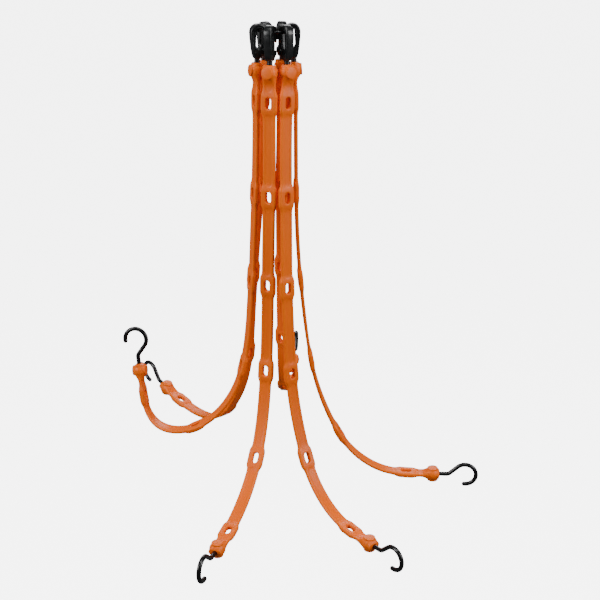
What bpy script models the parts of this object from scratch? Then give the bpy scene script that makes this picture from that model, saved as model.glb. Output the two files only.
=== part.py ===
"""Cargo net of six moulded elastic straps, gathered at the top on one ring.

Each strap is one moulding of orange elastomer: a flat band with six eyelet
pads and a bulb at each end. A nylon snap clip grows out of the top bulb and
hangs on the ring, and a wire hook grows out of the lower bulb. The straps
hang close together and curl outwards as they near their hooks.

Units are metres and +Z is up. The origin is the centre of the ring.
"""
import math
from collections import namedtuple

import bmesh
import bpy
import numpy as np
from mathutils import Matrix, Vector

MM = 0.001
GAP = 0.3 * MM

# ---------------------------------------------------------------- strap sizes
EYELETS = 6
EYELET_PITCH = 142.0 * MM
BULB_TO_EYELET = 44.2 * MM
STRAP_RUN = 2 * BULB_TO_EYELET + (EYELETS - 1) * EYELET_PITCH
BAND_HALF_WIDTH = 10.0 * MM
BAND_HALF_THICKNESS = 2.75 * MM
BAND_CORNER = 1.2 * MM
SLOT_WIDTH = 8.0 * MM
SLOT_LENGTH = 17.0 * MM
SLOT_CUTTER_DEPTH = 24.0 * MM
SLOT_SIDES = 8
PATH_STEP = 1.0 * MM
BEND_PER_SECTION = 9.0          # degrees that the band may turn between two sections

# Sections from a bulb's centre towards the band; a minus offset is its free end.
Section = namedtuple("Section", "offset half_width half_thickness corner")
BULB_SECTIONS = [
    Section(-11.0 * MM, 5.4 * MM, 5.2 * MM, 3.0 * MM),
    Section(-9.2 * MM, 8.2 * MM, 7.9 * MM, 4.6 * MM),
    Section(-6.2 * MM, 10.6 * MM, 10.2 * MM, 6.0 * MM),
    Section(-2.2 * MM, 12.0 * MM, 11.3 * MM, 6.8 * MM),
    Section(2.2 * MM, 12.0 * MM, 11.3 * MM, 6.8 * MM),
    Section(6.2 * MM, 10.9 * MM, 10.0 * MM, 6.0 * MM),
    Section(9.6 * MM, 10.2 * MM, 7.4 * MM, 4.5 * MM),
    Section(12.8 * MM, BAND_HALF_WIDTH, 4.8 * MM, 2.6 * MM),
    Section(17.5 * MM, BAND_HALF_WIDTH, 3.0 * MM, BAND_CORNER),
]
# Sections from an eyelet's centre outwards, mirrored about it.
PAD_SECTIONS = [
    Section(0.0 * MM, 12.7 * MM, 4.2 * MM, 1.6 * MM),
    Section(11.5 * MM, 12.7 * MM, 4.2 * MM, 1.6 * MM),
    Section(14.5 * MM, 12.0 * MM, 3.9 * MM, 1.5 * MM),
    Section(19.5 * MM, BAND_HALF_WIDTH, BAND_HALF_THICKNESS, BAND_CORNER),
]
BULB_END = -BULB_SECTIONS[0].offset

# ---------------------------------------------------------------- how it hangs
# place: angle of the strap on the ring. head_top and head_end: the compass
# direction in which the strap leans, at its top and at its hook. face_top and
# face_end: the direction that its broad face looks at, and twist: how much more
# it is turned halfway. sways: its sideways offsets in mm at the six eyelets and
# the lower bulb. leans: the angle from straight down at the top bulb, the places
# of LEAN_PLACES, which count eyelets from the first one, and the lower bulb.
Hang = namedtuple("Hang", "name place head_top head_end face_top face_end twist sways leans")
LEAN_PLACES = (1, 2, 3, 3.5, 4, 4.5, 5)
HANGS = [
    Hang("front_left", -108.0, -117.0, -109.5, -114.0, -109.5, 0.0,
         (-0.4, -2.0, -6.0, -7.4, -4.9, -2.1, -1.95),
         (0.0, 0.0, 0.0, 8.0, 18.5, 39.5, 65.5, 83.0, 89.0)),
    Hang("front_right", -52.2, -57.0, -53.0, -56.0, -53.0, 0.0,
         (-2.5, -7.1, -10.5, -7.5, -2.9, 0.8, 0.95),
         (0.3, 2.7, 2.3, 4.7, 14.3, 24.5, 52.0, 83.7, 90.0)),
    Hang("right", 7.8, 14.0, -9.0, 3.0, -8.0, 0.0,
         (-0.1, -0.9, -1.85, -1.85, -0.9, -0.1, 0.0),
         (0.5, 0.6, 5.1, 10.7, 19.5, 29.5, 56.3, 89.5, 92.0)),
    Hang("back_right", 69.5, 88.0, 84.3, 76.0, 84.3, -35.0,
         (-1.0, 1.9, 4.0, 4.5, 4.4, 3.5, 2.5),
         (0.3, 7.7, 7.5, 20.2, 27.0, 48.0, 75.5, 98.0, 107.0)),
    Hang("back_left", 128.5, 139.7, 130.5, 140.0, 129.5, 0.0,
         (0.2, 3.05, 6.3, 6.3, 3.05, 0.2, 0.0),
         (0.0, 4.8, 5.1, 9.0, 23.8, 44.7, 81.8, 100.6, 105.0)),
    Hang("left", 188.7, 211.0, 129.0, 200.0, 170.0, 0.0,
         (-0.15, -2.35, -4.8, -4.8, -2.35, -0.15, 0.0),
         (0.2, 2.2, 3.7, 14.8, 35.2, 61.0, 93.1, 168.0, 170.0)),
]
BULB_CIRCLE = 27.9 * MM         # radius on which the top bulbs stand
BULB_DROP = 57.0 * MM           # top bulb centres below the ring
TURN_STARTS = BULB_TO_EYELET + 2 * EYELET_PITCH
SPLAY = 3.0                     # degrees that clips and top bulbs lean out more
SPLAY_RUN = 60.0 * MM           # the straps lose that lean over this length

# ------------------------------------------------------------------ ring, hook
RING_RADIUS = 25.0 * MM
RING_WIRE = 2.0 * MM
RING_STEPS = 30
RING_SIDES = 6

HOOK_WIRE = 3.6 * MM
HOOK_SHANK = 15.0 * MM          # straight wire outside the bulb
HOOK_RADIUS = 18.0 * MM
HOOK_CENTRE = (42.5 * MM, 0.5 * MM)     # along the shank, towards the outer face
HOOK_TIP_ANGLE = -107.0
HOOK_BEND = 4.0 * MM            # the bend after the shank takes this much each side
HOOK_ARC_STEPS = 13

# ---------------------------------------------------------------- clip and gate
# The clip lies in the plane of its local X (away from the ring's centre) and Z
# (up from the bulb's centre); local Y is across it.
CLIP_HALF_DEPTH = 6.2 * MM
CLIP_CHAMFER = 1.6 * MM
NECK_RADIUS = 3.5 * MM
NECK_SIDES = 12
NECK_INTO_BASE = 3.0 * MM
BASE_Z = 18.4 * MM
BASE_HALF = 4.4 * MM
CROWN_CENTRE = (0.0, 55.0 * MM)
CROWN_RADIUS = 12.4 * MM
LOOP_INNER = -6.6 * MM
LOOP_OUTER = 3.6 * MM
LOOP_TOP = 59.4 * MM
LOOP_CORNER = 3.4 * MM
ARC_STEPS = 8
NOSE_OUTER = (-11.8 * MM, 42.2 * MM)
NOSE_INNER_Z = 44.0 * MM
PIVOT = (-8.2 * MM, 27.6 * MM)
KNUCKLE_RADIUS = 4.4 * MM
FORK_GAP = 3.4 * MM             # half the slot between the clip's two cheeks
FORK_START = -16.0 * MM
FORK_END = 0.0
FORK_TOP = 36.0 * MM
FORK_UNDER = 0.6 * MM           # clear height under the gate's knuckle
PIN_HOLE_RADIUS = 1.9 * MM
PIN_RADIUS = 1.5 * MM
PIN_HALF = 5.9 * MM
GATE_HALF_DEPTH = 3.0 * MM
GATE_KNUCKLE = 3.5 * MM
GATE_TIP_GAP = 0.6 * MM
GATE_CHAMFER = 0.7 * MM
PIN_SIDES = 12

ORANGE = (0.96, 0.20, 0.004, 1.0)
BLACK_NYLON = (0.012, 0.013, 0.015, 1.0)
BLACK_COATED = (0.010, 0.011, 0.012, 1.0)


# ------------------------------------------------------------------- collections
def clear_scene():
    """Remove what the file opened with."""
    for thing in list(bpy.data.objects):
        bpy.data.objects.remove(thing, do_unlink=True)


def new_collection(name):
    """Add a collection to the scene."""
    group = bpy.data.collections.new(name)
    bpy.context.scene.collection.children.link(group)
    return group


def new_material(name, colour, roughness, metallic):
    """Make a Principled material."""
    material = bpy.data.materials.new(name)
    material.use_nodes = True
    shader = material.node_tree.nodes["Principled BSDF"]
    shader.inputs["Base Color"].default_value = colour
    shader.inputs["Roughness"].default_value = roughness
    shader.inputs["Metallic"].default_value = metallic
    return material


def new_object(name, mesh, group, material=None, matrix=None):
    """Link a mesh as an object, with its material and its place."""
    thing = bpy.data.objects.new(name, mesh)
    group.objects.link(thing)
    if material is not None and not mesh.materials:
        mesh.materials.append(material)
    if matrix is not None:
        thing.matrix_world = matrix
    return thing


def hide_tool(thing):
    """Mark an object as a cutter or a joined blank."""
    thing.hide_render = True
    thing.display_type = "WIRE"


def shade(mesh, sharp_degrees=40.0):
    """Shade a mesh smooth up to a crease angle."""
    mesh.shade_smooth()
    mesh.set_sharp_from_angle(angle=math.radians(sharp_degrees))


def mesh_from(builder, name):
    """Turn a bmesh into a mesh with its faces pointing out."""
    bmesh.ops.recalc_face_normals(builder, faces=builder.faces)
    mesh = bpy.data.meshes.new(name)
    builder.to_mesh(mesh)
    builder.free()
    return mesh


def evaluated_mesh(thing, name):
    """Take an object's shape after its modifiers, welded, as a new mesh."""
    bpy.context.view_layer.update()
    source = thing.evaluated_get(bpy.context.evaluated_depsgraph_get())
    mesh = bpy.data.meshes.new_from_object(source)
    mesh.name = name
    builder = bmesh.new()
    builder.from_mesh(mesh)
    bmesh.ops.remove_doubles(builder, verts=builder.verts, dist=0.005 * MM)
    bmesh.ops.recalc_face_normals(builder, faces=builder.faces)
    builder.to_mesh(mesh)
    builder.free()
    return mesh


def add_boolean(thing, tool, operation):
    """Add an exact Boolean modifier."""
    modifier = thing.modifiers.new(tool.name, "BOOLEAN")
    modifier.operation = operation
    modifier.object = tool
    modifier.solver = "EXACT"


# ------------------------------------------------------------------- strap path
def smooth_through(knots, values, places):
    """Pass a smooth curve through values at knots, level at the first one."""
    slopes = np.gradient(values, knots)
    slopes[0] = 0.0
    index = np.clip(np.searchsorted(knots, places, side="right") - 1, 0, len(knots) - 2)
    width = knots[index + 1] - knots[index]
    t = (places - knots[index]) / width
    return ((2 * t**3 - 3 * t**2 + 1) * values[index]
            + (t**3 - 2 * t**2 + t) * width * slopes[index]
            + (3 * t**2 - 2 * t**3) * values[index + 1]
            + (t**3 - t**2) * width * slopes[index + 1])


def ease(t):
    """Go from 0 to 1 with soft ends."""
    t = np.clip(t, 0.0, 1.0)
    return t * t * (3.0 - 2.0 * t)


class StrapPath:
    """The centre line of one strap, from its top bulb to its lower bulb."""

    def __init__(self, hang):
        steps = int(round(STRAP_RUN / PATH_STEP))
        self.s = np.linspace(0.0, STRAP_RUN, steps + 1)
        places = BULB_TO_EYELET + EYELET_PITCH * np.array(LEAN_PLACES)
        knots = np.concatenate([[0.0], places, [STRAP_RUN]])
        self.lean = smooth_through(knots, np.array(hang.leans), self.s)
        self.lean += SPLAY * (1.0 - ease(self.s / SPLAY_RUN))
        turn = ease((self.s - TURN_STARTS) / (STRAP_RUN - TURN_STARTS))
        heading = np.radians(hang.head_top + (hang.head_end - hang.head_top) * turn)
        self.facing = np.radians(hang.face_top + (hang.face_end - hang.face_top) * turn
                                 + hang.twist * np.sin(np.pi * self.s / STRAP_RUN) ** 2)
        lean = np.radians(self.lean)
        along = np.stack([np.sin(lean) * np.cos(heading),
                          np.sin(lean) * np.sin(heading),
                          -np.cos(lean)], axis=1)
        run = np.cumsum((along[1:] + along[:-1]) / 2.0, axis=0) * (self.s[1] - self.s[0])
        place = math.radians(hang.place)
        top = np.array([BULB_CIRCLE * math.cos(place), BULB_CIRCLE * math.sin(place),
                        -BULB_DROP])
        sideways = np.array([-math.sin(heading[0]), math.cos(heading[0]), 0.0])
        knots = np.array([0.0] + eyelet_places() + [STRAP_RUN])
        sway = smooth_through(knots, np.array((0.0,) + hang.sways) * MM, self.s)
        self.points = top + np.vstack([[0.0, 0.0, 0.0], run]) + np.outer(sway, sideways)
        tangents = np.gradient(self.points, self.s, axis=0)
        self.tangents = tangents / np.linalg.norm(tangents, axis=1)[:, None]

    def frame(self, s):
        """Give the matrix whose X is across the band, Y its outer face, Z along it."""
        inside = min(max(s, 0.0), STRAP_RUN)
        point = np.array([np.interp(inside, self.s, self.points[:, k]) for k in range(3)])
        tangent = np.array([np.interp(inside, self.s, self.tangents[:, k]) for k in range(3)])
        along = Vector(tangent).normalized()
        origin = Vector(point) + along * (s - inside)
        facing = float(np.interp(inside, self.s, self.facing))
        across = Vector((-math.sin(facing), math.cos(facing), 0.0))
        across = (across - along * across.dot(along)).normalized()
        outer = along.cross(across)
        matrix = Matrix((across, outer, along)).transposed().to_4x4()
        matrix.translation = origin
        return matrix


def eyelet_places():
    """Give the distance of each eyelet from the top bulb's centre."""
    return [BULB_TO_EYELET + EYELET_PITCH * k for k in range(EYELETS)]


def strap_sections(path):
    """List (distance, section) down a strap: bulb, pads with bands between, bulb."""
    rows = [(row.offset, row) for row in BULB_SECTIONS]
    band = Section(0.0, BAND_HALF_WIDTH, BAND_HALF_THICKNESS, BAND_CORNER)
    pad_end = PAD_SECTIONS[-1].offset
    for number, centre in enumerate(eyelet_places()):
        rows += [(centre - row.offset, row) for row in reversed(PAD_SECTIONS[1:])]
        rows += [(centre + row.offset, row) for row in PAD_SECTIONS]
        if number == EYELETS - 1:
            break
        start = centre + pad_end
        end = centre + EYELET_PITCH - pad_end
        lean = np.interp([start, end], path.s, path.lean)
        pieces = max(2, math.ceil(abs(lean[1] - lean[0]) / BEND_PER_SECTION))
        for piece in range(1, pieces):
            rows.append((start + (end - start) * piece / pieces, band))
    rows += [(STRAP_RUN - row.offset, row) for row in reversed(BULB_SECTIONS)]
    return rows


def section_ring(section):
    """Give the eight corners of a section, as (across, outer) pairs."""
    wide, thick = section.half_width, section.half_thickness
    cut = section.corner
    return [(wide, thick - cut), (wide - cut, thick), (cut - wide, thick), (-wide, thick - cut),
            (-wide, cut - thick), (cut - wide, -thick), (wide - cut, -thick), (wide, cut - thick)]


def strap_mesh(path, name):
    """Loft the band, its pads and its bulbs along the strap's path."""
    builder = bmesh.new()
    rings = []
    for distance, section in strap_sections(path):
        matrix = path.frame(distance)
        rings.append([builder.verts.new(matrix @ Vector((across, outer, 0.0)))
                      for across, outer in section_ring(section)])
    for upper, lower in zip(rings, rings[1:]):
        count = len(upper)
        for k in range(count):
            after = (k + 1) % count
            builder.faces.new((upper[k], upper[after], lower[after], lower[k]))
    builder.faces.new(rings[0])
    builder.faces.new(list(reversed(rings[-1])))
    return mesh_from(builder, name)


def slot_cutters(path, name):
    """Make the six round-ended prisms that cut a strap's eyelets."""
    builder = bmesh.new()
    stretch = (SLOT_LENGTH - SLOT_WIDTH) / 2.0
    for distance in eyelet_places():
        made = bmesh.ops.create_cone(builder, cap_ends=True, segments=SLOT_SIDES,
                                     radius1=SLOT_WIDTH / 2.0, radius2=SLOT_WIDTH / 2.0,
                                     depth=SLOT_CUTTER_DEPTH)
        half_step = Matrix.Rotation(math.pi / SLOT_SIDES, 4, "Z")
        across_band = Matrix.Rotation(math.pi / 2.0, 4, "X")
        for corner in made["verts"]:
            corner.co = half_step @ corner.co
            corner.co = across_band @ corner.co
            corner.co.z += math.copysign(stretch, corner.co.z)
            corner.co = path.frame(distance) @ corner.co
    mesh = bpy.data.meshes.new(name)
    builder.to_mesh(mesh)
    builder.free()
    return mesh


# ------------------------------------------------------------------- ring, hooks
def hook_route():
    """List the hook wire's centre line as (along, outer) pairs."""
    centre = Vector(HOOK_CENTRE)
    bend = Vector((HOOK_SHANK, 0.0))
    reach = centre - bend
    spread = math.asin(HOOK_RADIUS / reach.length)
    slope = math.atan2(reach.y, reach.x) + spread
    run = math.sqrt(reach.length**2 - HOOK_RADIUS**2)
    direction = Vector((math.cos(slope), math.sin(slope)))
    sag = HOOK_BEND * math.sin(slope / 2.0) / 4.0
    inward = Vector((-math.sin(slope / 2.0), math.cos(slope / 2.0)))
    route = [Vector((0.0, 0.0)), Vector((HOOK_SHANK - HOOK_BEND, 0.0)),
             bend + 2.0 * sag * inward, bend + direction * HOOK_BEND]
    if run > 2.0 * HOOK_BEND:
        route.append(bend + direction * (run + HOOK_BEND) / 2.0)
    first = slope + math.pi / 2.0
    last = math.radians(HOOK_TIP_ANGLE)
    for k in range(HOOK_ARC_STEPS + 1):
        angle = first + (last - first) * k / HOOK_ARC_STEPS
        route.append(centre + HOOK_RADIUS * Vector((math.cos(angle), math.sin(angle))))
    return route


def hook_mesh(group):
    """Sweep the hook's wire; local Z is along the shank and Y the outer face."""
    curve = bpy.data.curves.new("hook_route", "CURVE")
    curve.dimensions = "3D"
    curve.bevel_depth = HOOK_WIRE
    curve.bevel_resolution = 2
    curve.use_fill_caps = True
    spline = curve.splines.new("POLY")
    route = hook_route()
    spline.points.add(len(route) - 1)
    for point, (along, outer) in zip(spline.points, route):
        point.co = (0.0, outer, along, 1.0)
    blank = bpy.data.objects.new("hook_blank", curve)
    group.objects.link(blank)
    mesh = evaluated_mesh(blank, "hook_wire")
    bpy.data.objects.remove(blank)
    shade(mesh)
    return mesh


def ring_object(group, material):
    """Make the round ring that the six clips hang on."""
    bpy.ops.mesh.primitive_torus_add(major_radius=RING_RADIUS, minor_radius=RING_WIRE,
                                     major_segments=RING_STEPS, minor_segments=RING_SIDES)
    ring = bpy.context.object
    ring.name = "gather_ring"
    for owner in list(ring.users_collection):
        owner.objects.unlink(ring)
    group.objects.link(ring)
    ring.data.materials.append(material)
    shade(ring.data, 80.0)
    return ring


# ------------------------------------------------------------------------- clips
def arc(centre, radius, start, end, steps):
    """List the points of an arc, its angles in degrees."""
    angles = [math.radians(start + (end - start) * k / steps) for k in range(steps + 1)]
    return [(centre[0] + radius * math.cos(a), centre[1] + radius * math.sin(a)) for a in angles]


def clip_outline():
    """List the clip body's outline: crown, nose, open loop and hinge cheek."""
    outer_side = [(BASE_HALF, BASE_Z), (6.3 * MM, 20.3 * MM), (8.4 * MM, 28.0 * MM),
                  (9.9 * MM, 36.0 * MM), (11.7 * MM, 47.0 * MM)]
    crown = arc(CROWN_CENTRE, CROWN_RADIUS, -6.0, 180.0, ARC_STEPS)
    nose = [NOSE_OUTER, (LOOP_INNER, NOSE_INNER_Z)]
    shoulder = LOOP_TOP - LOOP_CORNER
    loop = (arc((LOOP_INNER + LOOP_CORNER, shoulder), LOOP_CORNER, 180.0, 90.0, 3)
            + arc((LOOP_OUTER - LOOP_CORNER, shoulder), LOOP_CORNER, 90.0, 0.0, 3))
    floor = [(3.6 * MM, 37.0 * MM), (1.6 * MM, 33.6 * MM), (-2.6 * MM, 32.6 * MM)]
    knuckle = arc(PIVOT, KNUCKLE_RADIUS, 52.0, 232.0, 5)
    lower = [(-7.4 * MM, 22.0 * MM), (-6.3 * MM, 20.3 * MM), (-BASE_HALF, BASE_Z)]
    return outer_side + crown + nose + loop + floor + knuckle + lower


def flat_blank(outline, half_depth, name, group):
    """Thicken a flat outline in local X and Z, by half_depth each way along Y."""
    curve = bpy.data.curves.new(name, "CURVE")
    curve.dimensions = "2D"
    curve.fill_mode = "BOTH"
    curve.extrude = half_depth
    spline = curve.splines.new("POLY")
    spline.points.add(len(outline) - 1)
    for point, (across, up) in zip(spline.points, outline):
        point.co = (across, up, 0.0, 1.0)
    spline.use_cyclic_u = True
    flat = bpy.data.objects.new(name, curve)
    group.objects.link(flat)
    mesh = evaluated_mesh(flat, name)
    bpy.data.objects.remove(flat)
    mesh.transform(Matrix.Rotation(math.pi / 2.0, 4, "X"))
    return new_object(name, mesh, group)


def add_chamfer(thing, width):
    """Bevel an object's sharp edges with one flat."""
    modifier = thing.modifiers.new("chamfer", "BEVEL")
    modifier.width = width
    modifier.segments = 1
    modifier.limit_method = "ANGLE"
    modifier.angle_limit = math.radians(60.0)


def cylinder_tool(name, group, radius, length, centre, direction, sides):
    """Make a cylinder tool centred at (across, up), along local Y or Z."""
    builder = bmesh.new()
    bmesh.ops.create_cone(builder, cap_ends=True, segments=sides, radius1=radius,
                          radius2=radius, depth=length)
    mesh = mesh_from(builder, name)
    if direction == "Y":
        mesh.transform(Matrix.Rotation(math.pi / 2.0, 4, "X"))
    mesh.transform(Matrix.Translation((centre[0], 0.0, centre[1])))
    tool = new_object(name, mesh, group)
    hide_tool(tool)
    return tool


def box_tool(name, group, low, high):
    """Make a box tool from its two corners."""
    builder = bmesh.new()
    bmesh.ops.create_cube(builder, size=1.0)
    size = Vector(high) - Vector(low)
    middle = (Vector(high) + Vector(low)) / 2.0
    for corner in builder.verts:
        corner.co = Vector(corner.co[k] * size[k] for k in range(3)) + middle
    tool = new_object(name, mesh_from(builder, name), group)
    hide_tool(tool)
    return tool


def clip_mesh(tools):
    """Build one clip body: flat loop, round neck, forked hinge with pin holes."""
    body = flat_blank(clip_outline(), CLIP_HALF_DEPTH, "clip_blank", tools)
    hide_tool(body)
    add_chamfer(body, CLIP_CHAMFER)
    neck_low = BULB_END + GAP
    neck_high = BASE_Z + NECK_INTO_BASE
    neck = cylinder_tool("clip_neck", tools, NECK_RADIUS, neck_high - neck_low,
                         (0.0, (neck_low + neck_high) / 2.0), "Z", NECK_SIDES)
    fork = box_tool("clip_fork", tools,
                    (FORK_START, -FORK_GAP, PIVOT[1] - GATE_KNUCKLE - FORK_UNDER),
                    (FORK_END, FORK_GAP, FORK_TOP))
    hole = cylinder_tool("clip_pin_hole", tools, PIN_HOLE_RADIUS, 4 * CLIP_HALF_DEPTH,
                         PIVOT, "Y", PIN_SIDES)
    add_boolean(body, neck, "UNION")
    add_boolean(body, fork, "DIFFERENCE")
    add_boolean(body, hole, "DIFFERENCE")
    mesh = evaluated_mesh(body, "clip_body")
    shade(mesh)
    return mesh


def gate_outline():
    """List the gate's outline about its pivot: knuckle below, slanted tip above."""
    lean = (NOSE_OUTER[0] - PIVOT[0], LOOP_INNER - PIVOT[0])
    tip_outer = (lean[0] + 0.2 * MM, NOSE_OUTER[1] - PIVOT[1] - GATE_TIP_GAP)
    tip_inner = (lean[1] - 0.2 * MM, NOSE_INNER_Z - PIVOT[1] - GATE_TIP_GAP)
    knuckle = arc((0.0, 0.0), GATE_KNUCKLE, 165.0, 375.0, 8)
    return knuckle + [tip_inner, tip_outer]


def gate_mesh(tools):
    """Build one gate: a flat arm with a round knuckle and its two pin stubs."""
    arm = flat_blank(gate_outline(), GATE_HALF_DEPTH, "gate_blank", tools)
    hide_tool(arm)
    add_chamfer(arm, GATE_CHAMFER)
    pin = cylinder_tool("gate_pin", tools, PIN_RADIUS, 2 * PIN_HALF, (0.0, 0.0), "Y", PIN_SIDES)
    add_boolean(arm, pin, "UNION")
    mesh = evaluated_mesh(arm, "gate_arm")
    shade(mesh)
    return mesh


# -------------------------------------------------------------------------- build
def clip_frame(path):
    """Give the matrix of a clip: X away from the ring's centre, Z up its strap's line."""
    bulb = path.frame(0.0)
    outer = bulb.col[1].to_3d()
    up = -bulb.col[2].to_3d()
    matrix = Matrix((outer, up.cross(outer), up)).transposed().to_4x4()
    matrix.translation = bulb.translation
    return matrix


def main():
    """Build the net."""
    clear_scene()
    net = new_collection("cargo_net")
    tools = new_collection("cutters")
    orange = new_material("orange_elastomer", ORANGE, 0.38, 0.0)
    nylon = new_material("black_nylon", BLACK_NYLON, 0.32, 0.0)
    coated = new_material("black_coated_wire", BLACK_COATED, 0.22, 0.0)
    steel = new_material("black_ring_steel", BLACK_COATED, 0.30, 0.6)

    ring_object(net, steel)
    hook = hook_mesh(tools)
    clip = clip_mesh(tools)
    gate = gate_mesh(tools)
    for hang in HANGS:
        path = StrapPath(hang)
        strap = new_object("strap_" + hang.name, strap_mesh(path, "strap_" + hang.name), net, orange)
        cutter = new_object("slots_" + hang.name, slot_cutters(path, "slots_" + hang.name), tools)
        hide_tool(cutter)
        add_boolean(strap, cutter, "DIFFERENCE")
        shade(strap.data)
        hook_start = path.frame(STRAP_RUN + BULB_END + GAP)
        new_object("hook_" + hang.name, hook, net, coated, hook_start)
        frame = clip_frame(path)
        new_object("clip_" + hang.name, clip, net, nylon, frame)
        pivot = frame @ Matrix.Translation((PIVOT[0], 0.0, PIVOT[1]))
        new_object("gate_" + hang.name, gate, net, nylon, pivot)


main()
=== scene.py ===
"""Dressed model of a cargo net: six moulded elastic straps gathered on one ring.

Each strap is one orange moulding with a bulb at each end and six slotted pads.
A black snap clip grows out of its top bulb and a black wire hook out of its
lower bulb. All sizes are in metres, and the origin is the ring's centre.
"""

import logging
import math
from dataclasses import dataclass
from enum import Enum
from typing import Iterable, Sequence, Union

import bmesh
import bpy
import numpy as np
from mathutils import Matrix, Vector


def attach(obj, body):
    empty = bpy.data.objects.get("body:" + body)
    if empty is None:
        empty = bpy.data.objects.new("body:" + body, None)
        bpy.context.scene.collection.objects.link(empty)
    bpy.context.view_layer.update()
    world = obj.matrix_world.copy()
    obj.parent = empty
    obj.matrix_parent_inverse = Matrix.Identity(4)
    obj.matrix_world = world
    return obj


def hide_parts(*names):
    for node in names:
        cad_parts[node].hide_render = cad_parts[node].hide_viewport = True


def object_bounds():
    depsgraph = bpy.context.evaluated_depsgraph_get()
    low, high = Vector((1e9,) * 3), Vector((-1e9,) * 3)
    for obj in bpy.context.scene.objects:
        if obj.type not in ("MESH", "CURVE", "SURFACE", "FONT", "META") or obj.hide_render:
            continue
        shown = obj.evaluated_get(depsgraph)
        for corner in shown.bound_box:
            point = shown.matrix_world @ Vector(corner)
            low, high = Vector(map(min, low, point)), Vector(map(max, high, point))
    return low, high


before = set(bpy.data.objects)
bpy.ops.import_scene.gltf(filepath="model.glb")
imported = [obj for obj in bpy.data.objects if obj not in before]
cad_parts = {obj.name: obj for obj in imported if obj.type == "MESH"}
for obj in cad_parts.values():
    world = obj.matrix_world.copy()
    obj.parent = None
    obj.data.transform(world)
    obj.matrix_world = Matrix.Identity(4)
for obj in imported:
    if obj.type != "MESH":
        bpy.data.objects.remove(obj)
CAD_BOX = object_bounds()

LOG = logging.getLogger("strap_net")
MM = 0.001
TINY = 0.02 * MM
WELD = 0.004 * MM
SLIVER = 0.002 * MM
SMOOTH_ALL = 180.0
NET_BODY = "net"
Pair = tuple[float, float]
Colour = tuple[float, float, float, float]
Values = Union[float, np.ndarray]


class Slot(Enum):
    """The record's material slots."""

    ELASTOMER = "elastomer"
    NYLON = "nylon"
    WIRE = "coated_wire"
    RING = "ring_steel"


# ------------------------------------------------------------------ materials
class Number:
    """A value that varies over a surface: one node socket that takes arithmetic."""

    def __init__(self, board: "Board", socket: bpy.types.NodeSocket) -> None:
        """Keep the socket and the board it is on."""
        self.board = board
        self.socket = socket

    def _with(self, operation: str, first: "Term", second: "Term") -> "Number":
        """Add one Math node for an operation on two terms."""
        node = self.board.add("ShaderNodeMath", {"operation": operation}, {0: first, 1: second})
        return Number(self.board, node.outputs[0])

    def __add__(self, other: "Term") -> "Number":
        """Add a number or another value."""
        return self._with("ADD", self, other)

    __radd__ = __add__

    def __mul__(self, other: "Term") -> "Number":
        """Multiply by a number or another value."""
        return self._with("MULTIPLY", self, other)

    def clamped(self) -> "Number":
        """Keep the value between 0 and 1."""
        node = self.board.add("ShaderNodeClamp", {}, {0: self})
        return Number(self.board, node.outputs[0])


Term = Union[Number, float]


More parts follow.
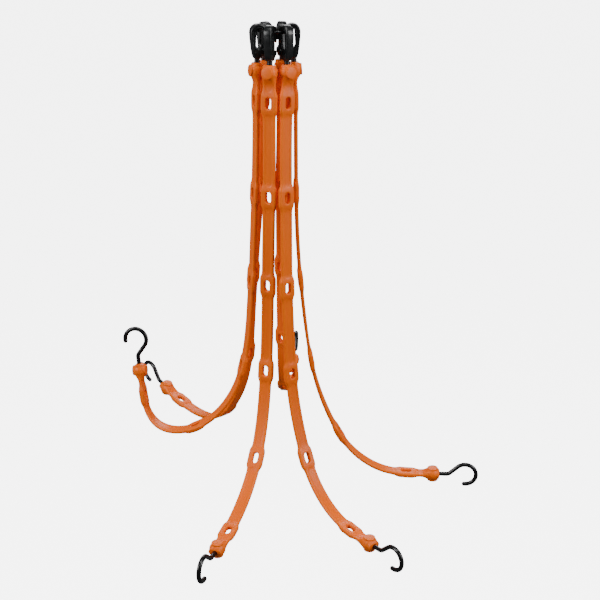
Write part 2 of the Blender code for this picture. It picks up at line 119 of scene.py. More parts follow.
class Board:
    """The node board of one material, with its Principled shader."""

    def __init__(self, name: str) -> None:
        """Start a material.

        Args:
            name: the material's name.
        """
        self.material = bpy.data.materials.new(name)
        self.material.use_nodes = True
        self.tree = self.material.node_tree
        self.shader = self.tree.nodes["Principled BSDF"]

    def add(self, kind: str, settings: dict, sockets: dict) -> bpy.types.Node:
        """Add a node.

        Args:
            kind: the node's type.
            settings: its properties, set first; "stops" are a ramp's stops.
            sockets: values or links of its inputs, by name or number.

        Returns:
            The new node.
        """
        node = self.tree.nodes.new(kind)
        for key, value in settings.items():
            if key == "stops":
                self._set_stops(node.color_ramp, value)
            else:
                setattr(node, key, value)
        self.feed(node, sockets)
        return node

    def feed(self, node: bpy.types.Node, sockets: dict) -> None:
        """Set or link a node's inputs.

        Args:
            node: the node whose inputs are set.
            sockets: values or links, by the input's name or number.
        """
        for key, value in sockets.items():
            if isinstance(value, Number):
                value = value.socket
            if isinstance(value, bpy.types.NodeSocket):
                self.tree.links.new(value, node.inputs[key])
            else:
                node.inputs[key].default_value = value

    @staticmethod
    def _set_stops(ramp: bpy.types.ColorRamp, stops: Sequence[Pair]) -> None:
        """Give a ramp its grey stops, as (place, grey) pairs."""
        while len(ramp.elements) < len(stops):
            ramp.elements.new(1.0)
        for element, (place, grey) in zip(ramp.elements, stops):
            element.position = place
            element.color = (grey, grey, grey, 1.0)

    def noise(self, scale: float, detail: float = 2.0, roughness: float = 0.5) -> Number:
        """Give a noise value in the object's own space.

        Args:
            scale: waves per metre.
            detail: octaves of finer noise.
            roughness: how strong the finer octaves are.

        Returns:
            The noise, about 0.3 to 0.7.
        """
        place = self.add("ShaderNodeTexCoord", {}, {}).outputs["Object"]
        node = self.add("ShaderNodeTexNoise", {},
                        {"Vector": place, "Scale": scale, "Detail": detail, "Roughness": roughness})
        return Number(self, node.outputs["Fac"])

    def painted(self, name: str) -> Number:
        """Read a value that the mesh carries at its points.

        Args:
            name: the attribute's name.

        Returns:
            The value.
        """
        node = self.add("ShaderNodeAttribute", {"attribute_name": name}, {})
        return Number(self, node.outputs["Fac"])

    def ramp(self, value: Number, stops: Sequence[Pair]) -> Number:
        """Send a value through a ramp of grey stops.

        Args:
            value: what goes in.
            stops: (place, grey) pairs.

        Returns:
            The ramp's grey.
        """
        node = self.add("ShaderNodeValToRGB", {"stops": stops}, {"Fac": value})
        return Number(self, node.outputs["Color"])

    def blend(self, factor: Term, low: object, high: object) -> bpy.types.NodeSocket:
        """Mix two colours.

        Args:
            factor: 0 for low and 1 for high.
            low: a colour or a colour socket.
            high: a colour or a colour socket.

        Returns:
            The mixed colour's socket.
        """
        node = self.add("ShaderNodeMix", {"data_type": "RGBA"}, {0: factor, 6: low, 7: high})
        return node.outputs[2]

    def bump(self, height: Number, strength: float, distance: float) -> None:
        """Give the shader fine relief.

        Args:
            height: the relief, 0 to 1.
            strength: how much of it shows.
            distance: its full height in metres.
        """
        node = self.add("ShaderNodeBump", {},
                        {"Height": height, "Strength": strength, "Distance": distance})
        self.feed(self.shader, {"Normal": node.outputs["Normal"]})


@dataclass(frozen=True)
class Elastomer:
    """Cast orange elastomer: satin, slightly waxy, with fine mould grain and paler bead crests,
    partly scuff wear and partly a painted highlight.
    """

    base: Colour = (0.97, 0.152, 0.0002, 1.0)
    deep: Colour = (0.88, 0.135, 0.0002, 1.0)
    # paler colour for the bead crests: partly scuff wear, partly a painted highlight
    rubbed: Colour = (1.0, 0.200, 0.001, 1.0)
    roughness: float = 0.33
    specular: float = 0.22
    scatter: float = 0.06
    scatter_reach: tuple[float, float, float] = (0.004, 0.0012, 0.0002)

    def material(self) -> bpy.types.Material:
        """Build the finish."""
        board = Board("orange_elastomer")
        cloud = board.ramp(board.noise(scale=22.0, detail=3.0), [(0.36, 0.0), (0.66, 1.0)])
        grain = board.noise(scale=1400.0, detail=3.0, roughness=0.6)
        scuff = board.ramp(board.noise(scale=310.0, detail=4.0, roughness=0.7),
                           [(0.56, 0.0), (0.72, 1.0)])
        crest_wear_and_highlight = board.painted("crest_wear_and_highlight")
        colour = board.blend(cloud * 0.55, self.base, self.deep)
        # painted highlight: every bead crest is blended a quarter of the way to the paler colour,
        # and the scuff noise adds wear on top
        colour = board.blend((crest_wear_and_highlight * (0.25 + scuff * 0.4)).clamped(), colour, self.rubbed)
        board.feed(board.shader, {
            "Base Color": colour,
            "Roughness": (self.roughness + cloud * 0.05 + grain * 0.05 + crest_wear_and_highlight * scuff * 0.06),
            "Specular IOR Level": self.specular,
            "Subsurface Weight": self.scatter,
            "Subsurface Radius": self.scatter_reach,
            "Subsurface Scale": 1.0,
        })
        board.bump(grain * 0.6 + board.noise(scale=420.0) * 0.4, strength=0.16,
                   distance=0.10 * MM)
        return board.material


@dataclass(frozen=True)
class Nylon:
    """Black moulded nylon: semi gloss, with fine grain and paler rubbed patches."""

    base: Colour = (0.0036, 0.0044, 0.0048, 1.0)
    rubbed: Colour = (0.0105, 0.0125, 0.0130, 1.0)
    roughness: float = 0.27

    def material(self) -> bpy.types.Material:
        """Build the finish."""
        board = Board("black_nylon")
        grain = board.noise(scale=1700.0, detail=3.0, roughness=0.6)
        patch = board.ramp(board.noise(scale=160.0, detail=4.0, roughness=0.65),
                           [(0.46, 0.0), (0.64, 1.0)])
        colour = board.blend(patch * 0.5, self.base, self.rubbed)
        board.feed(board.shader, {
            "Base Color": colour,
            "Roughness": self.roughness + patch * 0.08 + grain * 0.06,
        })
        board.bump(grain, strength=0.22, distance=0.10 * MM)
        return board.material


@dataclass(frozen=True)
class Coating:
    """Black coating on steel: glossy, with the soft waves of a dipped coat."""

    name: str
    base: Colour = (0.0030, 0.0036, 0.0038, 1.0)
    thin: Colour = (0.0100, 0.0120, 0.0115, 1.0)
    roughness: float = 0.17
    metallic: float = 0.0

    def material(self) -> bpy.types.Material:
        """Build the finish."""
        board = Board(self.name)
        wave = board.noise(scale=240.0)
        speck = board.ramp(board.noise(scale=900.0, detail=3.0, roughness=0.7),
                           [(0.60, 0.0), (0.74, 1.0)])
        colour = board.blend(speck * 0.6, self.base, self.thin)
        board.feed(board.shader, {
            "Base Color": colour,
            "Roughness": self.roughness + wave * 0.08 + speck * 0.12,
            "Metallic": self.metallic,
        })
        board.bump(wave, strength=0.18, distance=0.20 * MM)
        return board.material


@dataclass(frozen=True)
class FloorPaint:
    """Plain pale floor, lit from within so that it stays even and white."""

    base: Colour = (0.93, 0.93, 0.93, 1.0)
    mottle: Colour = (0.91, 0.91, 0.91, 1.0)
    glow: float = 6.0
    roughness: float = 0.9
    specular: float = 0.1

    def material(self) -> bpy.types.Material:
        """Build the finish."""
        board = Board("pale_floor")
        colour = board.blend(board.noise(scale=0.8), self.base, self.mottle)
        board.feed(board.shader, {"Base Color": colour, "Roughness": self.roughness,
                                  "Specular IOR Level": self.specular,
                                  "Emission Color": self.base,
                                  "Emission Strength": self.glow})
        return board.material


# --------------------------------------------------------------------- meshes
def link(name: str, data: bpy.types.ID) -> bpy.types.Object:
    """Make an object of a mesh, curve, light or camera and put it in the scene."""
    thing = bpy.data.objects.new(name, data)
    bpy.context.scene.collection.objects.link(thing)
    return thing


def dress(piece: bpy.types.Object, finish: bpy.types.Material, body: str, node: str) -> None:
    """Give a piece its finish, say what it stands for and report it.

    Args:
        piece: the piece.
        finish: its only material.
        body: the body that it moves with.
        node: the CAD node that it replaces.
    """
    piece.data.materials.clear()
    piece.data.materials.append(finish)
    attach(piece, body)
    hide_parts(node)
    LOG.info("%s: %d faces", piece.name, len(piece.data.polygons))


def mesh_piece(name: str, points: np.ndarray, faces: Iterable[Sequence[int]],
               smooth_degrees: float = SMOOTH_ALL) -> bpy.types.Object:
    """Make an object from points and faces, with its faces pointing out.

    Args:
        name: the piece's name.
        points: its points, one row each, in the row frame.
        faces: the point numbers of each face.
        smooth_degrees: edges that bend less than this are shaded smooth.

    Returns:
        The linked object.
    """
    mesh = bpy.data.meshes.new(name)
    mesh.from_pydata(points.tolist(), [], [list(face) for face in faces])
    builder = bmesh.new()
    builder.from_mesh(mesh)
    bmesh.ops.recalc_face_normals(builder, faces=builder.faces)
    builder.to_mesh(mesh)
    builder.free()
    mesh.shade_smooth()
    if smooth_degrees < SMOOTH_ALL:
        mesh.set_sharp_from_angle(angle=math.radians(smooth_degrees))
    return link(name, mesh)


def tube_rows(points: np.ndarray, radii: np.ndarray, binormal: np.ndarray,
              sides: int) -> np.ndarray:
    """Place rings of points round a line that bends in one plane.

    Args:
        points: the line's points.
        radii: the ring's radius at each point.
        binormal: the direction square to the plane of the line.
        sides: points on each ring.

    Returns:
        An array of rings, each an array of points.
    """
    along = np.gradient(points, axis=0)
    along /= np.linalg.norm(along, axis=1)[:, None]
    normal = np.cross(binormal, along)
    angles = np.linspace(0.0, 2.0 * np.pi, sides, endpoint=False)
    spokes = (np.cos(angles)[None, :, None] * normal[:, None, :]
              + np.sin(angles)[None, :, None] * np.array(binormal)[None, None, :])
    return points[:, None, :] + radii[:, None, None] * spokes


def ring_faces(rows: int, sides: int, closed: bool = False) -> list[tuple[int, ...]]:
    """List the quads between rings, with end caps unless the tube is closed.

    Args:
        rows: how many rings there are.
        sides: points on each ring.
        closed: whether the last ring joins the first.

    Returns:
        The faces as point numbers.
    """
    faces = []
    for row in range(rows if closed else rows - 1):
        here, there = row * sides, (row + 1) % rows * sides
        for k in range(sides):
            after = (k + 1) % sides
            faces.append((here + k, here + after, there + after, there + k))
    if not closed:
        faces.append(tuple(range(sides)))
        faces.append(tuple((rows - 1) * sides + k for k in range(sides)))
    return faces


def hermite(t: Values, width: Values, ends: Sequence[np.ndarray],
            slopes: Sequence[np.ndarray]) -> np.ndarray:
    """Go smoothly from one value to the next.

    Args:
        t: how far along, from 0 to 1.
        width: the distance between the two values.
        ends: the two values.
        slopes: the slopes there.

    Returns:
        The values on the way.
    """
    return ((2 * t**3 - 3 * t**2 + 1) * ends[0] + (t**3 - 2 * t**2 + t) * width * slopes[0]
            + (3 * t**2 - 2 * t**3) * ends[1] + (t**3 - t**2) * width * slopes[1])


def read_curve(x: np.ndarray, y: np.ndarray, slopes: np.ndarray,
               places: np.ndarray) -> np.ndarray:
    """Read a smooth curve that is given by its values and slopes at rising x."""
    index = np.clip(np.searchsorted(x, places, side="right") - 1, 0, len(x) - 2)
    width = x[index + 1] - x[index]
    return hermite((places - x[index]) / width, width, (y[index], y[index + 1]),
                   (slopes[index], slopes[index + 1]))


def curve_through(knots: Sequence[float], values: Sequence[float],
                  places: np.ndarray) -> np.ndarray:
    """Pass a smooth curve through a table of values without overshooting them.

    Args:
        knots: where the values stand, in rising order.
        values: the values there.
        places: where the curve is read; outside the knots the end value holds.

    Returns:
        The curve's values at the places.
    """
    x, y = np.array(knots), np.array(values)
    rise = np.diff(y) / np.diff(x)
    slope = np.zeros(len(x))
    same_way = rise[1:] * rise[:-1] > 0.0
    mean = 2.0 * rise[1:] * rise[:-1] / np.where(same_way, rise[1:] + rise[:-1], 1.0)
    slope[1:-1] = np.where(same_way, mean, 0.0)
    return read_curve(x, y, slope, np.clip(places, x[0], x[-1]))


def ease(t: np.ndarray) -> np.ndarray:
    """Go from 0 to 1 with soft ends."""
    t = np.clip(t, 0.0, 1.0)
    return t * t * (3.0 - 2.0 * t)


# ---------------------------------------------------------------- strap route
@dataclass(frozen=True)
class Hang:
    """How one strap hangs, as in the part's source.

    place is its angle on the ring. The head angles are the compass direction
    in which it leans, and the face angles the way its broad face looks, at its
    top and at its hook; twist is how much more it is turned halfway. sways are
    its sideways offsets in mm at the eyelets and the lower bulb. leans are the
    angles from straight down at its top bulb, at the eyelet counts of
    lean_places and at its lower bulb.
    """

    name: str
    place: float
    head_top: float
    head_end: float
    face_top: float
    face_end: float
    twist: float
    sways: tuple[float, ...]
    leans: tuple[float, ...]


HANGS = (
    Hang("front_left", -108.0, -117.0, -109.5, -114.0, -109.5, 0.0,
         (-0.4, -2.0, -6.0, -7.4, -4.9, -2.1, -1.95),
         (0.0, 0.0, 0.0, 8.0, 18.5, 39.5, 65.5, 83.0, 89.0)),
    Hang("front_right", -52.2, -57.0, -53.0, -56.0, -53.0, 0.0,
         (-2.5, -7.1, -10.5, -7.5, -2.9, 0.8, 0.95),
         (0.3, 2.7, 2.3, 4.7, 14.3, 24.5, 52.0, 83.7, 90.0)),
    Hang("right", 7.8, 14.0, -9.0, 3.0, -8.0, 0.0,
         (-0.1, -0.9, -1.85, -1.85, -0.9, -0.1, 0.0),
         (0.5, 0.6, 5.1, 10.7, 19.5, 29.5, 56.3, 89.5, 92.0)),
    Hang("back_right", 69.5, 88.0, 84.3, 76.0, 84.3, -35.0,
         (-1.0, 1.9, 4.0, 4.5, 4.4, 3.5, 2.5),
         (0.3, 7.7, 7.5, 20.2, 27.0, 48.0, 75.5, 98.0, 107.0)),
    Hang("back_left", 128.5, 139.7, 130.5, 140.0, 129.5, 0.0,
         (0.2, 3.05, 6.3, 6.3, 3.05, 0.2, 0.0),
         (0.0, 4.8, 5.1, 9.0, 23.8, 44.7, 81.8, 100.6, 105.0)),
    Hang("left", 188.7, 211.0, 129.0, 200.0, 170.0, 0.0,
         (-0.15, -2.35, -4.8, -4.8, -2.35, -0.15, 0.0),
         (0.2, 2.2, 3.7, 14.8, 35.2, 61.0, 93.1, 168.0, 170.0)),
)


def level_start(knots: Sequence[float], values: Sequence[float],
                places: np.ndarray) -> np.ndarray:
    """Pass a smooth curve through a table of values, level at the first one.

    Args:
        knots: where the values stand, in rising order.
        values: the values there.
        places: where the curve is read.

    Returns:
        The curve's values at the places.
    """
    x, y = np.array(knots), np.array(values)
    slopes = np.gradient(y, x)
    slopes[0] = 0.0
    return read_curve(x, y, slopes, places)


@dataclass(frozen=True)
class StrapRoute:
    """The centre line of one strap, from its top bulb to its lower bulb."""

    hang: Hang
    eyelets: int = 6
    pitch: float = 142.0 * MM
    first_eyelet: float = 44.2 * MM
    lean_places: tuple[float, ...] = (1, 2, 3, 3.5, 4, 4.5, 5)
    bulb_circle: float = 27.9 * MM
    bulb_drop: float = 57.0 * MM
    splay: float = 3.0
    splay_run: float = 60.0 * MM
    straight_eyelets: int = 2
    step: float = 1.0 * MM

    @property
    def run(self) -> float:
        """Distance between the two bulbs' centres along the strap."""
        return 2.0 * self.first_eyelet + (self.eyelets - 1) * self.pitch

    @property
    def eyelet_places(self) -> list[float]:
        """Distance of each eyelet from the top bulb's centre."""
        return [self.first_eyelet + self.pitch * k for k in range(self.eyelets)]

    def _leans(self, s: np.ndarray) -> np.ndarray:
        """Angles from straight down along the strap, in radians."""
        counted = [self.first_eyelet + self.pitch * k for k in self.lean_places]
        lean = level_start([0.0] + counted + [self.run], self.hang.leans, s)
        return np.radians(lean + self.splay * (1.0 - ease(s / self.splay_run)))

    def line(self) -> tuple[np.ndarray, np.ndarray, np.ndarray, np.ndarray]:
        """Work out the route.

        Returns:
            Distances, points, tangents and facing angles along the strap.
        """
        hang = self.hang
        s = np.linspace(0.0, self.run, int(round(self.run / self.step)) + 1)
        starts = self.first_eyelet + self.straight_eyelets * self.pitch
        turn = ease((s - starts) / (self.run - starts))
        heading = np.radians(hang.head_top + (hang.head_end - hang.head_top) * turn)
        facing = np.radians(hang.face_top + (hang.face_end - hang.face_top) * turn
                            + hang.twist * np.sin(np.pi * s / self.run) ** 2)
        lean = self._leans(s)
        along = np.stack([np.sin(lean) * np.cos(heading), np.sin(lean) * np.sin(heading),
                          -np.cos(lean)], axis=1)
        run = np.cumsum((along[1:] + along[:-1]) / 2.0, axis=0) * (s[1] - s[0])
        place = math.radians(hang.place)
        top = np.array([self.bulb_circle * math.cos(place), self.bulb_circle * math.sin(place),
                        -self.bulb_drop])
        sideways = np.array([-math.sin(heading[0]), math.cos(heading[0]), 0.0])
        sway = level_start([0.0] + self.eyelet_places + [self.run], (0.0,) + hang.sways, s) * MM
        points = top + np.vstack([[0.0, 0.0, 0.0], run]) + np.outer(sway, sideways)
        tangents = np.gradient(points, s, axis=0)
        tangents /= np.linalg.norm(tangents, axis=1)[:, None]
        return s, points, tangents, facing

    def frames(self, places: np.ndarray) -> tuple[np.ndarray, ...]:
        """Give the strap's axes at some places.

        Args:
            places: distances from the top bulb's centre; past an end they go straight on.

        Returns:
            Origins, and the unit vectors across the band, out of its outer face and along it.
        """
        s, points, tangents, facing = self.line()
        inside = np.clip(places, 0.0, self.run)
        origin = np.stack([np.interp(inside, s, points[:, k]) for k in range(3)], axis=1)
        along = np.stack([np.interp(inside, s, tangents[:, k]) for k in range(3)], axis=1)
        along /= np.linalg.norm(along, axis=1)[:, None]
        origin += along * (places - inside)[:, None]
        face = np.interp(inside, s, facing)
        across = np.stack([-np.sin(face), np.cos(face), np.zeros(len(face))], axis=1)
        across -= along * (across * along).sum(axis=1)[:, None]
        across /= np.linalg.norm(across, axis=1)[:, None]
        return origin, across, np.cross(along, across), along

    def matrix(self, place: float) -> Matrix:
        """Give one place's axes as a matrix: X across, Y outer face, Z along."""
        origin, across, outer, along = (rows[0] for rows in self.frames(np.array([place])))
        matrix = Matrix((across, outer, along)).transposed().to_4x4()
        matrix.translation = Vector(origin)
        return matrix


# --------------------------------------------------------------------- straps
@dataclass(frozen=True)
class Strap:
    """One orange moulding: band with beaded edges, slotted pads and end bulbs.

    The tables list (distance, half width, half thickness, edge radius) in mm,
    from a bulb's centre towards the band and from an eyelet's centre outwards.
    The steps say, also in mm, where rings stand from the same centres.
    """

    route: StrapRoute
    bulb: tuple[tuple[float, ...], ...] = (
        (-11.0, 5.2, 5.1, 5.0),
        (-10.3, 6.7, 6.5, 6.3),
        (-9.2, 8.0, 7.8, 7.5),
        (-6.2, 10.4, 10.0, 9.5),
        (-2.2, 11.9, 11.1, 10.2),
        (2.2, 11.9, 11.1, 10.2),
        (6.2, 10.8, 9.9, 8.9),
        (9.6, 10.2, 7.4, 6.2),
        (12.8, 10.0, 4.8, 3.7),
        (17.5, 10.0, 3.0, 2.15),
        (22.0, 10.0, 2.75, 2.0),
    )
    pad: tuple[tuple[float, ...], ...] = (
        (0.0, 12.75, 4.2, 2.7),
        (10.0, 12.7, 4.15, 2.7),
        (14.0, 12.0, 3.75, 2.5),
        (18.0, 10.6, 3.15, 2.2),
        (22.0, 10.0, 2.80, 2.0),
        (25.0, 10.0, 2.75, 2.0),
    )
    slot_half_width: float = 4.0 * MM
    slot_straight: float = 4.5 * MM
    slot_rim: float = 1.7 * MM
    channel_half_width: float = 5.4 * MM
    channel_depth: float = 0.45 * MM
    channel_wall: float = 1.5 * MM
    channel_from_pad: float = 16.2 * MM
    channel_from_bulb: float = 14.5 * MM
    parting_ridge: float = 0.12 * MM
    band_step: float = 3.5 * MM
    disc_radius: float = 8.7 * MM
    disc_height: float = 11.15 * MM
    disc_bevel: float = 0.45 * MM
    disc_sides: int = 48
    socket_radius: float = 3.75 * MM
    lip: tuple[Pair, ...] = ((0.30 * MM, 0.45), (0.42 * MM, 0.85), (0.36 * MM, 1.0),
                             (-3.0 * MM, 1.0))
    face_steps: tuple[float, ...] = (0.0, 0.04, 0.09, 0.15, 0.23, 0.34, 0.46, 0.57, 0.63,
                                     0.69, 0.75, 0.82, 0.91, 1.0)
    edge_steps: tuple[float, ...] = (18.0, 36.0, 54.0, 72.0, 90.0)
    rim_steps: tuple[float, ...] = (0.45, 1.0, 1.6, 2.3, 3.1, 4.0)
    pad_steps: tuple[float, float, float] = (13.2, 25.3, 0.85)
    cap_steps: tuple[float, ...] = (-11.0, -10.7, -10.3, -9.8, -9.3)
    bulb_steps: tuple[float, float, float] = (-8.8, 22.1, 1.1)
    bead_from: Pair = (0.60, 0.2)
    bead_to: Pair = (0.93, 0.07)
    sharp_angle: float = 34.0

    @property
    def name(self) -> str:
        """The CAD node that the strap replaces."""
        return "strap_" + self.route.hang.name

    @property
    def reach(self) -> float:
        """How far a bulb's free end stands from its centre."""
        return -self.bulb[0][0] * MM

    @property
    def lip_shares(self) -> np.ndarray:
        """How round each ring of the socket's lip is, from 0 to 1."""
        return np.array([row[1] for row in self.lip])

    def stations(self) -> np.ndarray:
        """List where the strap's rings stand, close together where it swells."""
        slot_end = [self.slot_straight + self.slot_half_width * math.sin(math.radians(a))
                    for a in range(15, 91, 15)]
        half_pad = np.concatenate([
            np.linspace(0.0, self.slot_straight, 4), slot_end,
            slot_end[-1] + np.array(self.rim_steps) * MM, np.arange(*self.pad_steps) * MM])
        half_bulb = np.concatenate([np.array(self.cap_steps) * MM,
                                    np.arange(*self.bulb_steps) * MM])
        run = self.route.run
        stops = [half_bulb, run - half_bulb]
        for place in self.route.eyelet_places:
            stops += [place - half_pad, place + half_pad]
        fixed = np.sort(np.concatenate(stops))
        filled = [fixed]
        for start, end in zip(fixed, fixed[1:]):
            if end - start > 1.5 * self.band_step:
                count = int(math.ceil((end - start) / self.band_step))
                filled.append(np.linspace(start, end, count + 1)[1:-1])
        places = np.sort(np.concatenate(filled))
        keep = np.concatenate([[True], np.diff(places) > TINY])
        return places[keep]

    def sizes(self, s: np.ndarray) -> np.ndarray:
        """Give half width, half thickness and edge radius along the strap.

        Args:
            s: distances from the top bulb's centre.

        Returns:
            Three rows of sizes.
        """
        bulb, pad = np.array(self.bulb) * MM, np.array(self.pad) * MM
        to_bulb = np.minimum(s, self.route.run - s)
        eyelets = np.array(self.route.eyelet_places)[:, None]
        to_eyelet = np.min(np.abs(s[None, :] - eyelets), axis=0)
        rows = []
        for column in (1, 2, 3):
            by_bulb = curve_through(bulb[:, 0], bulb[:, column], to_bulb)
            by_pad = curve_through(pad[:, 0], pad[:, column], to_eyelet)
            rows.append(np.maximum(by_bulb, by_pad))
        return np.array(rows)

    def channels(self) -> list[Pair]:
        """List where each recessed channel of the band starts and ends."""
        places = self.route.eyelet_places
        starts = [self.channel_from_bulb] + [p + self.channel_from_pad for p in places]
        ends = [p - self.channel_from_pad for p in places]
        ends.append(self.route.run - self.channel_from_bulb)
        return list(zip(starts, ends))

    def in_channel(self, u: np.ndarray, s: np.ndarray) -> np.ndarray:
        """Say how far into a channel each point is, from 0 to 1."""
        mask = np.zeros_like(u)
        radius = self.channel_half_width
        for start, end in self.channels():
            middle, half = (start + end) / 2.0, max((end - start) / 2.0 - radius, 0.0)
            past = np.maximum(np.abs(s - middle) - half, 0.0)
            away = np.sqrt(past**2 + u**2) - radius
            mask = np.maximum(mask, ease(0.5 - away / self.channel_wall))
        return mask

    def slot_gap(self, s: np.ndarray) -> np.ndarray:
        """Give the slot's half width at each distance, 0 where there is no slot."""
        gap = np.zeros_like(s)
        for place in self.route.eyelet_places:
            past = np.maximum(np.abs(s - place) - self.slot_straight, 0.0)
            square = np.maximum(self.slot_half_width**2 - past**2, 0.0)
            near = np.abs(s - place) < self.slot_straight + self.slot_half_width - 1e-9
            gap = np.where(near, np.sqrt(square), gap)
        return gap

    def rim_drop(self, u: np.ndarray, s: np.ndarray) -> np.ndarray:
        """Say how far the face falls away in the rounded rim of a slot."""
        drop = np.zeros_like(u)
        rim = self.slot_rim
        for place in self.route.eyelet_places:
            past = np.maximum(np.abs(s - place) - self.slot_straight, 0.0)
            away = np.clip(np.sqrt(past**2 + u**2) - self.slot_half_width, 0.0, rim)
            drop = np.maximum(drop, rim - np.sqrt(np.maximum(rim**2 - (rim - away)**2, 0.0)))
        return drop

    def half_face(self, s: np.ndarray) -> tuple[np.ndarray, ...]:
        """Work out one half of the outer face, from the middle to the edge.

        Args:
            s: the rings' distances.

        Returns:
            Distance across, height and how much each point is on a bead, by ring and column.
        """
        width, thick, radius = self.sizes(s)
        gap = self.slot_gap(s)
        flat = np.array(self.face_steps)
        u_face = gap[:, None] + (width - radius - gap)[:, None] * flat[None, :]
        turn = np.radians(self.edge_steps)
        u_edge = (width - radius)[:, None] + radius[:, None] * np.sin(turn)[None, :]
        u = np.concatenate([u_face, u_edge], axis=1)
        h_edge = (thick - radius)[:, None] + radius[:, None] * np.cos(turn)[None, :]
        h = np.concatenate([np.repeat(thick[:, None], len(flat), axis=1), h_edge], axis=1)
        along = np.repeat(s[:, None], u.shape[1], axis=1)
        channel = self.in_channel(u, along)
        h = h - self.channel_depth * channel - self.rim_drop(u, along)
        share = u / width[:, None]
        crest_wear_and_highlight = (ease((share - self.bead_from[0]) / self.bead_from[1])
                 * (1.0 - ease((share - self.bead_to[0]) / self.bead_to[1])))
        return u, h, crest_wear_and_highlight * (1.0 - channel)

    def socket_rows(self, u: np.ndarray, h: np.ndarray) -> tuple[np.ndarray, ...]:
        """Shape the rings that close a bulb's free end round its socket.

        Args:
            u: distances across of the bulb's last ring.
            h: heights of the bulb's last ring.

        Returns:
            Distances across, heights and how far each ring stands past the bulb's end.
        """
        angle = np.arctan2(h, u)
        circle = self.socket_radius * np.stack([np.cos(angle), np.sin(angle)])
        share = self.lip_shares[:, None]
        rows_u = (1.0 - share) * u[None, :] + share * circle[0][None, :]
        rows_h = (1.0 - share) * h[None, :] + share * circle[1][None, :]
        return rows_u, rows_h, np.array([row[0] for row in self.lip])

    def surface(self) -> tuple[np.ndarray, ...]:
        """Work out the whole half face with both ends closed.

        Returns:
            Distances along, distances across, heights, beads, middle edges and slot gaps.
        """
        s = self.stations()
        u, h, crest_wear_and_highlight = self.half_face(s)
        ridge = u[:, -1] + self.parting_ridge
        cap_u, cap_h, push = self.socket_rows(u[0], h[0])
        share = self.lip_shares
        cap_ridge = (1.0 - share) * ridge[0] + self.socket_radius * share
        none = np.zeros_like(cap_u)
        return (np.concatenate([-self.reach - push[::-1], s, self.route.run + self.reach + push]),
                np.vstack([cap_u[::-1], u, cap_u]), np.vstack([cap_h[::-1], h, cap_h]),
                np.vstack([none, crest_wear_and_highlight, none]),
                np.concatenate([cap_ridge[::-1], ridge, cap_ridge]),
                np.concatenate([none[:, 0], self.slot_gap(s), none[:, 0]]))

    def moulding(self) -> tuple[np.ndarray, list[tuple[int, ...]], np.ndarray]:
        """Build the band with its pads, slots and bulbs.

        Returns:
            The points, the faces and how much each point is on a bead.
        """
        s, u, h, crest_wear_and_highlight, ridge, gap = self.surface()
        origin, across, outer, _ = self.route.frames(s)
        rows, columns = u.shape
        blocks, marks = [], []
        for side, up in ((1, 1), (-1, 1), (1, -1), (-1, -1)):
            blocks.append(origin[:, None] + side * u[..., None] * across[:, None]
                          + up * h[..., None] * outer[:, None])
            marks.append(crest_wear_and_highlight)
        for side in (1, -1):
            blocks.append(origin[:, None] + (side * ridge[:, None, None]) * across[:, None])
            marks.append(np.full((rows, 1), 0.5))
        points = np.concatenate([block.reshape(-1, 3) for block in blocks])
        size = rows * columns
        grid = np.arange(size).reshape(rows, columns)
        tops, bottoms = [grid, grid + size], [grid + 2 * size, grid + 3 * size]
        middles = [4 * size + np.arange(rows), 4 * size + rows + np.arange(rows)]
        whole = gap <= 0.0
        tops[1][whole, 0] = tops[0][whole, 0]
        bottoms[1][whole, 0] = bottoms[0][whole, 0]
        faces = []
        for top, bottom, middle in zip(tops, bottoms, middles):
            shell = np.hstack([top, middle[:, None], bottom[:, ::-1]])
            quads = np.stack([shell[:-1, :-1], shell[:-1, 1:], shell[1:, 1:], shell[1:, :-1]],
                             axis=2)
            faces += quads.reshape(-1, 4).tolist()
            cut = np.flatnonzero((gap[:-1] > 0.0) | (gap[1:] > 0.0))
            faces += [(top[k, 0], top[k + 1, 0], bottom[k + 1, 0], bottom[k, 0]) for k in cut]
        for row in (0, rows - 1):
            right = [*tops[0][row], middles[0][row], *bottoms[0][row, ::-1]]
            left = [*bottoms[1][row, 1:], middles[1][row], *tops[1][row, :0:-1]]
            faces.append(right + left)
        return points, faces, np.concatenate([mark.reshape(-1) for mark in marks])

    def disc(self, place: float, start: int) -> tuple[np.ndarray, list[tuple[int, ...]]]:
        """Build the flat round disc that stands out of both faces of a bulb.

        Args:
            place: the bulb's distance along the strap.
            start: the number that the disc's first point gets.

        Returns:
            Its points and its faces.
        """
        origin, across, outer, along = (row[0] for row in self.route.frames(np.array([place])))
        turn = np.radians([0.0, 30.0, 60.0, 90.0])
        radii = self.disc_radius - self.disc_bevel * (1.0 - np.sin(turn))
        heights = self.disc_height - self.disc_bevel * (1.0 - np.cos(turn))
        radii = np.concatenate([radii, radii[::-1]])
        heights = np.concatenate([heights, -heights[::-1]])
        angles = np.linspace(0.0, 2.0 * np.pi, self.disc_sides, endpoint=False)
        spokes = (np.cos(angles)[:, None] * across[None, :]
                  + np.sin(angles)[:, None] * along[None, :])
        rings = (origin + heights[:, None, None] * outer[None, None, :]
                 + radii[:, None, None] * spokes[None, :, :])
        faces = [tuple(start + k for k in face)
                 for face in ring_faces(len(radii), self.disc_sides)]
        return rings.reshape(-1, 3), faces

